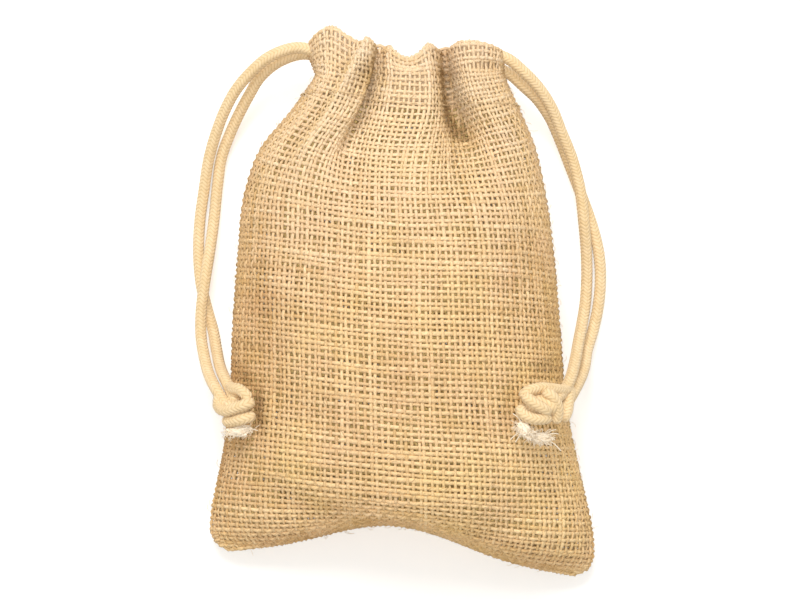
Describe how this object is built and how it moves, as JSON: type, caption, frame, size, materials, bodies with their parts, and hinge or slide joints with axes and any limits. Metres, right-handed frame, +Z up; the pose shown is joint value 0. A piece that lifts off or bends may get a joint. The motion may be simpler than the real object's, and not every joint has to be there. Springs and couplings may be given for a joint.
{
  "type": "burlap drawstring sack",
  "caption": "Small plump burlap sack lying on its back, its gathered mouth drawn in by braided cotton cords that end in frayed knots.",
  "frame": {"origin": "on the flat of the back, on the surface the sack rests on", "axes": "+X to the right across the face, +Y from the bottom fold to the mouth, +Z up out of the face"},
  "size_m": [0.1348, 0.1775, 0.0427],
  "materials": {
    "burlap": "open plain weave of natural jute yarn",
    "cotton_cord": "fine braided cream cotton cord",
    "frayed_cotton": "loose off-white cotton fibres at the cut cord ends"
  },
  "bodies": {
    "root": {"sack": "burlap", "cord_left_under": "cotton_cord", "cord_left_over": "cotton_cord", "cord_right_over": "cotton_cord", "cord_right_under": "cotton_cord", "knot_left": "cotton_cord", "knot_right": "cotton_cord", "fray_left": "frayed_cotton", "fray_right_a": "frayed_cotton", "fray_right_b": "frayed_cotton"}
  },
  "joints": []
}
